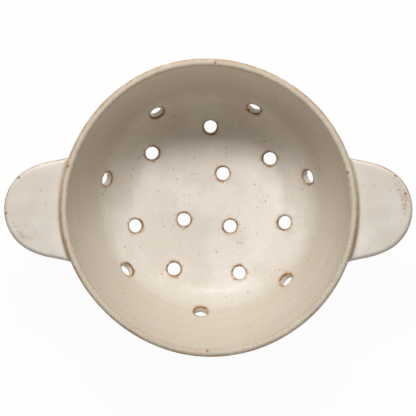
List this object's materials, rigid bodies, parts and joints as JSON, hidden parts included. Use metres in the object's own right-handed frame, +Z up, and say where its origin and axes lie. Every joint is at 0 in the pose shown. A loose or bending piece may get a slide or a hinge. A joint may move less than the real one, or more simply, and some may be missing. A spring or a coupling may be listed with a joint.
{
  "type": "berry colander bowl",
  "caption": "Glazed stoneware bowl pierced with round drain holes, on a low foot ring, with a flat rounded lug handle on each side.",
  "frame": {"origin": "on the surface that the bowl stands on, under the middle of the bowl", "axes": "+X towards the lug at the picture's right, +Y towards the picture's top, +Z up out of the open bowl"},
  "size_m": [0.2278, 0.165, 0.066],
  "materials": {
    "glaze": "satin cream glaze with fine brown specks",
    "bare_clay": "matte unglazed stoneware"
  },
  "bodies": {
    "root": {"bowl": "glaze", "foot_ring": "bare_clay", "left_handle": "glaze", "right_handle": "glaze"}
  },
  "joints": []
}
